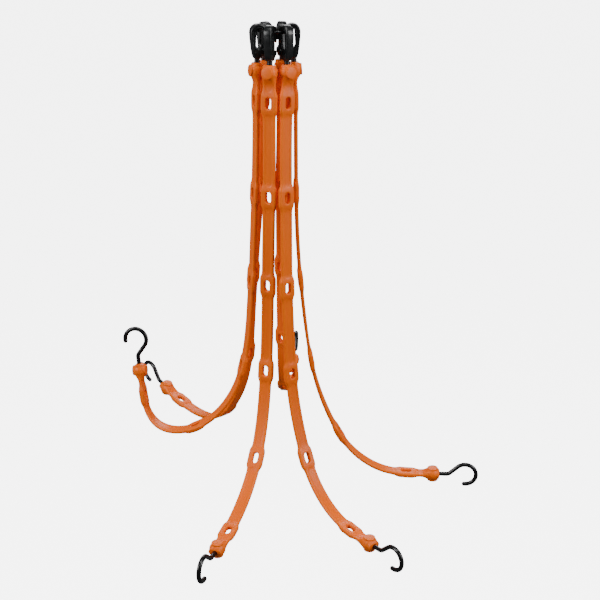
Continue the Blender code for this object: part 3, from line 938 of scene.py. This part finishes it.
    def build(self) -> bpy.types.Object:
        """Build the strap, without its finish.

        Returns:
            The strap.
        """
        points, faces, crest_wear_and_highlight = self.moulding()
        used, index = np.unique(np.concatenate([np.array(face) for face in faces]),
                                return_inverse=True)
        ends = np.cumsum([len(face) for face in faces])
        faces = [part.tolist() for part in np.split(index, ends[:-1])]
        points, crest_wear_and_highlight = points[used], crest_wear_and_highlight[used]
        for place in (0.0, self.route.run):
            disc_points, disc_faces = self.disc(place, len(points))
            points = np.vstack([points, disc_points])
            faces += disc_faces
            crest_wear_and_highlight = np.concatenate([crest_wear_and_highlight, np.zeros(len(disc_points))])
        piece = mesh_piece("moulded_" + self.name, points, faces, self.sharp_angle)
        # this mask paints a highlight and scuff wear along the bead crests in the elastomer's
        # colour
        layer = piece.data.attributes.new("crest_wear_and_highlight", "FLOAT", "POINT")
        layer.data.foreach_set("value", crest_wear_and_highlight.astype(np.float32))
        return piece

    def dress(self, piece: bpy.types.Object, finish: bpy.types.Material,
              hook: bpy.types.Object) -> None:
        """Give the strap its finish, hang it on the net and hide the CAD strap that it replaces.

        Args:
            piece: the strap.
            finish: the elastomer.
            hook: the hook on its far end; not used.
        """
        dress(piece, finish, NET_BODY, self.name)
        _, points, tangents, _ = self.route.line()
        line = np.vstack([points[0] - tangents[0] * self.reach, points[::4],
                          points[-1] + tangents[-1] * self.reach])


# ---------------------------------------------------------------- hooks, ring
@dataclass(frozen=True)
class WireHook:
    """One bent wire hook that grows out of a strap's lower bulb."""

    route: StrapRoute
    wire: float = 3.6 * MM
    starts: float = 11.3 * MM
    into_socket: float = 2.8 * MM
    shank: float = 15.0 * MM
    radius: float = 18.0 * MM
    centre: Pair = (42.5 * MM, 0.5 * MM)
    tip_angle: float = -107.0
    bend: float = 4.0 * MM
    sides: int = 20
    arc_steps: int = 44
    bend_steps: int = 8
    tip_steps: int = 6
    straight_steps: int = 5
    sharp_angle: float = 60.0

    @property
    def name(self) -> str:
        """The CAD node that the hook replaces."""
        return "hook_" + self.route.hang.name

    def line(self) -> np.ndarray:
        """List the wire's centre line as (along, outer) pairs, up to its tip's ball."""
        centre, corner = np.array(self.centre), np.array([self.shank, 0.0])
        reach = centre - corner
        far = float(np.hypot(*reach))
        slope = math.atan2(reach[1], reach[0]) + math.asin(self.radius / far)
        run = math.sqrt(far**2 - self.radius**2)
        heading = np.array([math.cos(slope), math.sin(slope)])
        before, after = corner - [self.bend, 0.0], corner + heading * self.bend
        t = np.linspace(0.0, 1.0, self.bend_steps + 1)[:, None]
        turn = (1 - t)**2 * before + 2 * t * (1 - t) * corner + t**2 * after
        start = np.linspace([-self.into_socket, 0.0], before, self.straight_steps)[:-1]
        straight = np.linspace(after, corner + heading * run, self.straight_steps)[1:-1]
        ball = math.degrees(self.wire / self.radius)
        angles = np.radians(np.linspace(math.degrees(slope) + 90.0, self.tip_angle + ball,
                                        self.arc_steps + 1))
        arc = centre + self.radius * np.stack([np.cos(angles), np.sin(angles)], axis=1)
        return np.vstack([start, turn, straight, arc])

    def build(self) -> bpy.types.Object:
        """Build the hook as a tube with a round tip.

        Returns:
            The hook.
        """
        line = self.line()
        radii = np.full(len(line), self.wire)
        heading = line[-1] - line[-2]
        heading /= np.hypot(*heading)
        turn = np.radians(np.linspace(0.0, 90.0, self.tip_steps + 1))[1:]
        ball = line[-1] + self.wire * np.sin(turn)[:, None] * heading
        line = np.vstack([line, ball])
        radii = np.concatenate([radii, np.maximum(self.wire * np.cos(turn), TINY)])
        flat = np.stack([np.zeros(len(line)), line[:, 1], line[:, 0]], axis=1)
        rings = tube_rows(flat, radii, np.array([1.0, 0.0, 0.0]), self.sides)
        piece = mesh_piece("wire_" + self.name, rings.reshape(-1, 3),
                           ring_faces(len(line), self.sides), self.sharp_angle)
        piece.data.transform(self.route.matrix(self.route.run + self.starts))
        return piece


@dataclass(frozen=True)
class GatherRing:
    """The round ring that all six clips hang on."""

    radius: float = 25.0 * MM
    wire: float = 2.0 * MM
    steps: int = 120
    sides: int = 20
    weld_angle: float = 40.0
    weld_width: float = 3.4
    weld_height: float = 0.28 * MM

    def build(self) -> bpy.types.Object:
        """Build the ring, with the small swelling where its wire is welded."""
        angles = np.linspace(0.0, 2.0 * np.pi, self.steps, endpoint=False)
        away = (np.degrees(angles) - self.weld_angle) / self.weld_width
        radii = self.wire + self.weld_height * np.exp(-away**2)
        around = np.linspace(0.0, 2.0 * np.pi, self.sides, endpoint=False)
        out = self.radius + radii[:, None] * np.cos(around)[None, :]
        points = np.stack([out * np.cos(angles)[:, None], out * np.sin(angles)[:, None],
                           radii[:, None] * np.sin(around)[None, :]], axis=2)
        return mesh_piece("round_ring", points.reshape(-1, 3),
                          ring_faces(self.steps, self.sides, closed=True))


# ----------------------------------------------------------------------- clips
def arc(centre: Pair, radius: float, start: float, end: float, steps: int) -> list[Pair]:
    """List the points of an arc, its angles in degrees."""
    angles = [math.radians(start + (end - start) * k / steps) for k in range(steps + 1)]
    return [(centre[0] + radius * math.cos(a), centre[1] + radius * math.sin(a)) for a in angles]


def in_mm(*points: Pair) -> list[Pair]:
    """Turn points in millimetres into points in metres."""
    return [(x * MM, z * MM) for x, z in points]


def rounded(points: Sequence[Pair], steps: int = 5) -> list[Pair]:
    """Pass a smooth line through points.

    Args:
        points: the points, in order.
        steps: how many pieces each stretch gets.

    Returns:
        The smooth line's points, the given ones among them.
    """
    rows = np.array(points)
    knots = np.concatenate([[0.0], np.cumsum(np.hypot(*np.diff(rows, axis=0).T))])
    slopes = np.gradient(rows, knots, axis=0)
    line = []
    for k in range(len(rows) - 1):
        for t in np.arange(steps) / steps:
            line.append(hermite(t, knots[k + 1] - knots[k], rows[k:k + 2], slopes[k:k + 2]))
    line.append(rows[-1])
    return [tuple(point) for point in line]


class Bench:
    """Makes thick flat shapes and cuts them, in a clip's own axes."""

    @staticmethod
    def plate(outline: Sequence[Pair], half_depth: float, edge: float) -> bpy.types.Object:
        """Thicken a flat outline, with rounded edges.

        Args:
            outline: (X, Z) points of the closed outline.
            half_depth: half its thickness, along Y.
            edge: radius of its rounded edges.

        Returns:
            The plate.
        """
        curve = bpy.data.curves.new("plate", "CURVE")
        curve.dimensions = "2D"
        curve.fill_mode = "BOTH"
        curve.extrude = half_depth - edge
        curve.bevel_depth = edge
        curve.bevel_resolution = 3
        curve.offset = -edge
        spline = curve.splines.new("POLY")
        spline.points.add(len(outline) - 1)
        for point, (x, z) in zip(spline.points, outline):
            point.co = (x, z, 0.0, 1.0)
        spline.use_cyclic_u = True
        plate = Bench.finished(link("plate", curve))
        plate.data.transform(Matrix.Rotation(math.pi / 2.0, 4, "X"))
        return plate

    @staticmethod
    def finished(thing: bpy.types.Object) -> bpy.types.Object:
        """Turn an object with modifiers into a plain welded mesh object."""
        bpy.context.view_layer.update()
        source = thing.evaluated_get(bpy.context.evaluated_depsgraph_get())
        mesh = bpy.data.meshes.new_from_object(source)
        builder = bmesh.new()
        builder.from_mesh(mesh)
        bmesh.ops.remove_doubles(builder, verts=builder.verts, dist=WELD)
        bmesh.ops.dissolve_degenerate(builder, edges=builder.edges, dist=SLIVER)
        bmesh.ops.recalc_face_normals(builder, faces=builder.faces)
        builder.to_mesh(mesh)
        builder.free()
        piece = link(thing.name, mesh)
        bpy.data.objects.remove(thing)
        return piece

    @staticmethod
    def rod(radius: float, low: Vector, high: Vector, sides: int = 32) -> bpy.types.Object:
        """Make a round rod between two points."""
        builder = bmesh.new()
        span = high - low
        bmesh.ops.create_cone(builder, cap_ends=True, segments=sides, radius1=radius,
                              radius2=radius, depth=span.length)
        turn = span.to_track_quat("Z", "Y").to_matrix().to_4x4()
        bmesh.ops.transform(builder, verts=builder.verts,
                            matrix=Matrix.Translation((low + high) / 2.0) @ turn)
        return Bench._object(builder)

    @staticmethod
    def block(low: Vector, high: Vector) -> bpy.types.Object:
        """Make a box between two corners."""
        builder = bmesh.new()
        bmesh.ops.create_cube(builder, size=1.0)
        for corner in builder.verts:
            scaled = Vector(corner.co[k] * (high[k] - low[k]) for k in range(3))
            corner.co = scaled + (low + high) / 2.0
        return Bench._object(builder)

    @staticmethod
    def _object(builder: bmesh.types.BMesh) -> bpy.types.Object:
        """Link a bmesh as an object."""
        mesh = bpy.data.meshes.new("tool")
        builder.to_mesh(mesh)
        builder.free()
        return link("tool", mesh)

    @staticmethod
    def work(blank: bpy.types.Object,
             jobs: Sequence[tuple[str, bpy.types.Object]]) -> bpy.types.Object:
        """Join tools to a blank or cut it with them.

        Args:
            blank: the object worked on.
            jobs: (UNION or DIFFERENCE, tool) pairs; the tools are used up.

        Returns:
            The finished object.
        """
        for operation, tool in jobs:
            modifier = blank.modifiers.new(operation, "BOOLEAN")
            modifier.operation = operation
            modifier.object = tool
            modifier.solver = "EXACT"
        piece = Bench.finished(blank)
        for _, tool in jobs:
            bpy.data.objects.remove(tool)
        return piece


@dataclass(frozen=True)
class SnapClip:
    """One moulded clip: open loop, round neck, forked hinge and its sprung gate.

    Its own X points away from the ring's centre and Z up from the bulb's
    centre; points are (X, Z) pairs.
    """

    half_depth: float = 6.2 * MM
    edge: float = 2.2 * MM
    neck_radius: float = 4.3 * MM
    neck_low: float = 8.2 * MM
    base_z: float = 17.0 * MM
    base_half: float = 4.4 * MM
    crown_centre: Pair = (0.0, 55.0 * MM)
    crown_radius: float = 12.4 * MM
    loop_inner: float = -6.6 * MM
    loop_outer: float = 3.6 * MM
    loop_top: float = 59.4 * MM
    loop_corner: float = 3.4 * MM
    nose_outer: Pair = (-11.8 * MM, 42.2 * MM)
    nose_inner_z: float = 44.0 * MM
    pivot: Pair = (-8.2 * MM, 27.6 * MM)
    knuckle: float = 4.4 * MM
    fork_gap: float = 3.4 * MM
    fork_top: float = 36.0 * MM
    fork_under: float = 0.6 * MM
    pin_hole: float = 1.9 * MM
    pin: float = 1.5 * MM
    pin_half: float = 5.9 * MM
    gate_half_depth: float = 3.0 * MM
    gate_knuckle: float = 3.5 * MM
    gate_edge: float = 0.8 * MM
    tip_gap: float = 0.6 * MM
    recess_half_width: float = 1.7 * MM
    recess_depth: float = 0.7 * MM
    recess_edge: float = 0.25 * MM
    recess_tool: float = 2.0 * MM
    neck_overlap: float = 3.0 * MM
    fork_reach: float = 16.0 * MM
    hole_reach: float = 10.0 * MM
    tip_inset: float = 0.2 * MM
    sharp_angle: float = 35.0

    def outline(self) -> list[Pair]:
        """List the body's outline: outer side, crown, nose, loop, floor and knuckle."""
        outer = rounded([(self.base_half, self.base_z),
                         *in_mm((6.3, 20.3), (8.4, 28.0), (9.9, 36.0), (11.7, 47.0))])
        crown = arc(self.crown_centre, self.crown_radius, -6.0, 180.0, 28)
        nose = [self.nose_outer, (self.loop_inner, self.nose_inner_z)]
        corner, shoulder = self.loop_corner, self.loop_top - self.loop_corner
        loop = (arc((self.loop_inner + corner, shoulder), corner, 180.0, 90.0, 8)
                + arc((self.loop_outer - corner, shoulder), corner, 90.0, 0.0, 8))
        floor = in_mm((3.6, 37.0), (3.2, 35.0), (1.6, 33.6), (-2.6, 32.6))
        knuckle = arc(self.pivot, self.knuckle, 52.0, 232.0, 14)
        lower = [*in_mm((-7.4, 22.0), (-6.3, 20.3)), (-self.base_half, self.base_z)]
        return outer + crown + nose + loop + floor + knuckle + lower

    def recess(self) -> list[Pair]:
        """List the outline of the shallow recess that follows the loop's bar."""
        middle = np.array(rounded(in_mm(
            (5.6, 27.0), (6.5, 35.0), (7.5, 45.0), (8.0, 53.0), (6.4, 59.6), (2.0, 63.2),
            (-3.0, 63.0), (-7.4, 59.6), (-9.3, 54.0), (-9.3, 47.5))))
        along = np.gradient(middle, axis=0)
        along /= np.hypot(*along.T)[:, None]
        left = np.stack([-along[:, 1], along[:, 0]], axis=1) * self.recess_half_width
        angles = np.radians([30.0, 60.0, 90.0, 120.0, 150.0])
        radius = self.recess_half_width
        ends = [[tuple(point + side * math.cos(a) + way * radius * math.sin(a)) for a in angles]
                for point, way, side in ((middle[-1], along[-1], left[-1]),
                                         (middle[0], -along[0], -left[0]))]
        upper = [tuple(point) for point in middle + left]
        lower = [tuple(point) for point in (middle - left)[::-1]]
        return upper + ends[0] + lower + ends[1]

    def body(self) -> bpy.types.Object:
        """Build the clip's body."""
        plate = Bench.plate(self.outline(), self.half_depth, self.edge)
        neck = Bench.rod(self.neck_radius, Vector((0, 0, self.neck_low)),
                         Vector((0, 0, self.base_z + self.neck_overlap)))
        fork = Bench.block(Vector((-self.fork_reach, -self.fork_gap,
                                   self.pivot[1] - self.gate_knuckle - self.fork_under)),
                           Vector((0.0, self.fork_gap, self.fork_top)))
        hole = Bench.rod(self.pin_hole, *(Vector((self.pivot[0], reach, self.pivot[1]))
                                          for reach in (-self.hole_reach, self.hole_reach)))
        jobs = [("UNION", neck), ("DIFFERENCE", fork), ("DIFFERENCE", hole)]
        for side in (-1.0, 1.0):
            tool = Bench.plate(self.recess(), self.recess_tool, self.recess_edge)
            shift = side * (self.half_depth - self.recess_depth + self.recess_tool)
            tool.data.transform(Matrix.Translation((0.0, shift, 0.0)))
            jobs.append(("DIFFERENCE", tool))
        return Bench.work(plate, jobs)

    def gate(self) -> bpy.types.Object:
        """Build the gate about its pivot: knuckle, arm with a slanted tip, and pin."""
        lean = (self.nose_outer[0] - self.pivot[0], self.loop_inner - self.pivot[0])
        tip = [(lean[1] - self.tip_inset, self.nose_inner_z - self.pivot[1] - self.tip_gap),
               (lean[0] + self.tip_inset, self.nose_outer[1] - self.pivot[1] - self.tip_gap)]
        outline = arc((0.0, 0.0), self.gate_knuckle, 165.0, 375.0, 18) + tip
        arm = Bench.plate(outline, self.gate_half_depth, self.gate_edge)
        pin = Bench.rod(self.pin, Vector((0, -self.pin_half, 0)), Vector((0, self.pin_half, 0)))
        return Bench.work(arm, [("UNION", pin)])

    def copy(self, model: bpy.types.Object, name: str, matrix: Matrix) -> bpy.types.Object:
        """Place a copy of a body or gate.

        Args:
            model: the body or gate, in the clip's own axes.
            name: the new piece's name.
            matrix: where the copy stands.

        Returns:
            The copy.
        """
        mesh = model.data.copy()
        mesh.transform(matrix)
        mesh.shade_smooth()
        mesh.set_sharp_from_angle(angle=math.radians(self.sharp_angle))
        return link(name, mesh)

    def place(self, route: StrapRoute, body: bpy.types.Object, gate: bpy.types.Object,
              finish: bpy.types.Material) -> None:
        """Put one clip and its gate at the top of a strap and dress them.

        Args:
            route: the strap's route.
            body: the clip's body, in its own axes.
            gate: the gate, about its pivot.
            finish: the nylon.
        """
        bulb = route.matrix(0.0)
        outer, up = bulb.col[1].to_3d(), -bulb.col[2].to_3d()
        matrix = Matrix((outer, up.cross(outer), up)).transposed().to_4x4()
        matrix.translation = bulb.translation
        turned = matrix @ Matrix.Translation((self.pivot[0], 0.0, self.pivot[1]))
        name = route.hang.name
        for model, node, where, rides_on in ((body, "clip_" + name, matrix, NET_BODY),
                                             (gate, "gate_" + name, turned, "gate_" + name)):
            dress(self.copy(model, "snap_" + node, where), finish, rides_on, node)


# ---------------------------------------------------------------------- studio
@dataclass(frozen=True)
class SoftBox:
    """One soft square light."""

    name: str
    place: tuple[float, float, float]
    size: Pair
    watts: float
    aim: tuple[float, float, float] = (0.0, 0.0, -0.35)

    def build(self) -> None:
        """Hang the light and turn it to its aim."""
        data = bpy.data.lights.new(self.name, "AREA")
        data.shape = "RECTANGLE"
        data.size, data.size_y = self.size
        data.energy = self.watts
        lamp = link(self.name, data)
        lamp.location = self.place
        look = Vector(self.aim) - Vector(self.place)
        lamp.rotation_euler = look.to_track_quat("-Z", "Y").to_euler()


@dataclass(frozen=True)
class Studio:
    """Camera, lights, pale room and floor."""

    camera_place: tuple[float, float, float] = (-0.0040, -1.7194, 0.2409)
    camera_turn: tuple[float, float, float] = (69.005, 0.0, -1.332)
    lens: float = 70.02
    sensor: float = 36.0
    sight: float = 200.0
    floor_below: float = 0.9
    floor_half: float = 40.0
    room: Colour = (1.0, 1.0, 1.0, 1.0)
    room_strength: float = 0.12
    lights: tuple[SoftBox, ...] = (
        SoftBox("left_box", (-1.9, -0.9, 0.5), (0.9, 1.5), 40.0),
        SoftBox("right_box", (1.9, -0.9, 0.5), (0.9, 1.5), 40.0),
        SoftBox("top_box", (0.0, -0.5, 1.9), (1.2, 0.8), 24.0),
        SoftBox("back_box", (0.2, 2.1, 0.7), (1.4, 1.2), 24.0),
    )

    def build_camera(self) -> None:
        """Set up the camera at the photograph's angle."""
        data = bpy.data.cameras.new("photo_view")
        data.lens = self.lens
        data.sensor_width = self.sensor
        data.clip_end = self.sight
        camera = link("photo_view", data)
        camera.location = self.camera_place
        camera.rotation_euler = [math.radians(angle) for angle in self.camera_turn]
        bpy.context.scene.camera = camera

    def build_room(self) -> None:
        """Light the room and hang the soft boxes."""
        world = bpy.data.worlds.new("pale_room")
        world.use_nodes = True
        back = world.node_tree.nodes["Background"]
        back.inputs["Color"].default_value = self.room
        back.inputs["Strength"].default_value = self.room_strength
        bpy.context.scene.world = world
        for light in self.lights:
            light.build()

    def build_floor(self) -> None:
        """Lay the floor well below the hanging net."""
        z = CAD_BOX[0].z - self.floor_below
        half = self.floor_half
        points = np.array([(x, y, z) for x, y in ((-half, -half), (half, -half), (half, half),
                                                  (-half, half))])
        floor = mesh_piece("pale_floor", points, [(0, 1, 2, 3)])
        floor.data.materials.append(FloorPaint().material())
        floor.visible_diffuse = False
        floor.visible_glossy = False


def main() -> None:
    """Build and dress the whole net."""
    logging.basicConfig(level=logging.INFO, format="%(name)s %(message)s")
    studio = Studio()
    studio.build_camera()
    elastomer = Elastomer().material()
    nylon = Nylon().material()
    coating = Coating("black_coated_wire").material()
    ring_coat = Coating("black_ring_steel", roughness=0.24, metallic=0.5).material()
    for hang in HANGS:
        route = StrapRoute(hang)
        hook = WireHook(route)
        wire = hook.build()
        dress(wire, coating, NET_BODY, hook.name)
        strap = Strap(route)
        strap.dress(strap.build(), elastomer, wire)
    clip = SnapClip()
    body, gate = clip.body(), clip.gate()
    for hang in HANGS:
        clip.place(StrapRoute(hang), body, gate, nylon)
    for model in (body, gate):
        bpy.data.objects.remove(model)
    dress(GatherRing().build(), ring_coat, NET_BODY, "gather_ring")
    studio.build_room()
    studio.build_floor()


if __name__ == "__main__":
    main()
